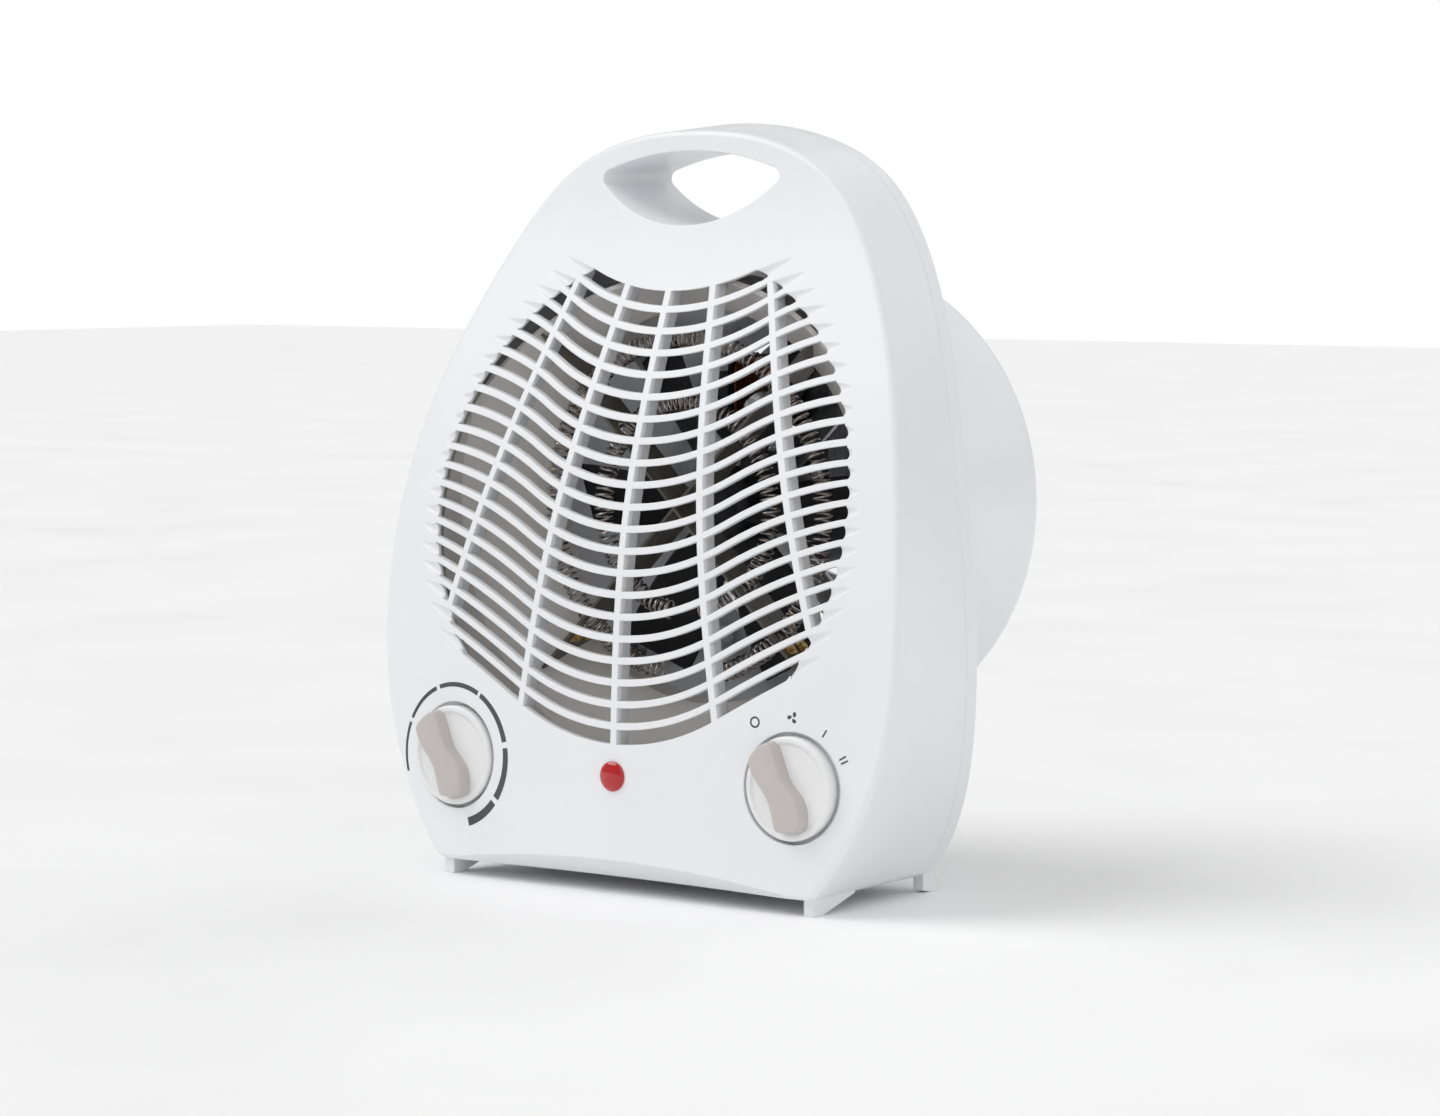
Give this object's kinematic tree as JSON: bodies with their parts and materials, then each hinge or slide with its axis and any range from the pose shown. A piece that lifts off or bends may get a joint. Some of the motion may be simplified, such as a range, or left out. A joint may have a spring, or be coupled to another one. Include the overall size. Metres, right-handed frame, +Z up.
{
  "type": "fan heater",
  "caption": "Upright household fan heater with a wave-bar air grille, two front rotary controls, a pilot lamp and an eye-shaped carrying handle.",
  "frame": {"origin": "on the floor under the middle of the bounding box", "axes": "+X to the right seen from the front, -Y towards the user, +Z up"},
  "size_m": [0.2198, 0.14, 0.26],
  "materials": {
    "shell_white": "satin moulded ABS",
    "knob_white": "satin moulded ABS",
    "grip_grey": "warm grey, fine texture",
    "duct_grey": "heat-resistant polyamide",
    "mica": "mica sheet",
    "nichrome": "drawn resistance wire",
    "steel": "ground",
    "zinc_steel": "zinc plated",
    "ceramic_white": "unglazed steatite",
    "brass": "stamped",
    "bronze": "sintered",
    "copper": "enamelled copper wire",
    "lamination": "stacked electrical sheet",
    "black_plastic": "moulded",
    "lens_red": "polished, translucent",
    "clear_glass": "clear",
    "rubber_black": "moulded"
  },
  "bodies": {
    "housing": {"front_shell": "shell_white", "rear_cover": "shell_white", "air_duct": "duct_grey", "mica_plate_rising": "mica", "mica_plate_falling": "mica", "inner_heating_coil": "nichrome", "outer_heating_coil": "nichrome", "thermal_cutout": "steel", "thermal_fuse": "ceramic_white", "element_terminals": "brass", "duct_screws": "zinc_steel", "motor_stack": "lamination", "motor_bobbin": "black_plastic", "motor_winding": "copper", "front_bearing_bracket": "zinc_steel", "rear_bearing_bracket": "zinc_steel", "front_bearing": "bronze", "rear_bearing": "bronze", "motor_mount": "zinc_steel", "motor_screws": "zinc_steel", "mount_screws": "zinc_steel", "thermostat_body": "ceramic_white", "selector_body": "black_plastic", "thermostat_nut": "zinc_steel", "selector_nut": "zinc_steel", "bimetal_strip": "steel", "lamp_lens": "lens_red", "lamp_holder": "black_plastic", "neon_lamp": "clear_glass", "cord_gland": "rubber_black", "cord_clamp": "black_plastic", "clamp_screws": "zinc_steel", "terminal_block": "duct_grey", "terminal_screws": "brass", "housing_screws": "zinc_steel"},
    "fan_rotor": {"fan_wheel": "black_plastic", "motor_shaft": "steel", "motor_rotor": "steel"},
    "thermostat_control": {"thermostat_knob": "knob_white", "thermostat_grip": "grip_grey", "thermostat_spindle": "steel"},
    "selector_control": {"selector_knob": "knob_white", "selector_grip": "grip_grey", "selector_spindle": "black_plastic"}
  },
  "joints": [
    {"name": "fan_spin", "type": "hinge", "parent": "housing", "child": "fan_rotor", "pos_m": [0, -0.0035, 0.129], "axis": [0, 1, 0], "continuous": true},
    {"name": "thermostat_turn", "type": "hinge", "parent": "housing", "child": "thermostat_control", "pos_m": [-0.0725, -0.06, 0.042], "axis": [0, 1, 0], "range_deg": [-68, 203]},
    {"name": "selector_turn", "type": "hinge", "parent": "housing", "child": "selector_control", "pos_m": [0.0725, -0.06, 0.042], "axis": [0, 1, 0], "range_deg": [0, 97]}
  ]
}
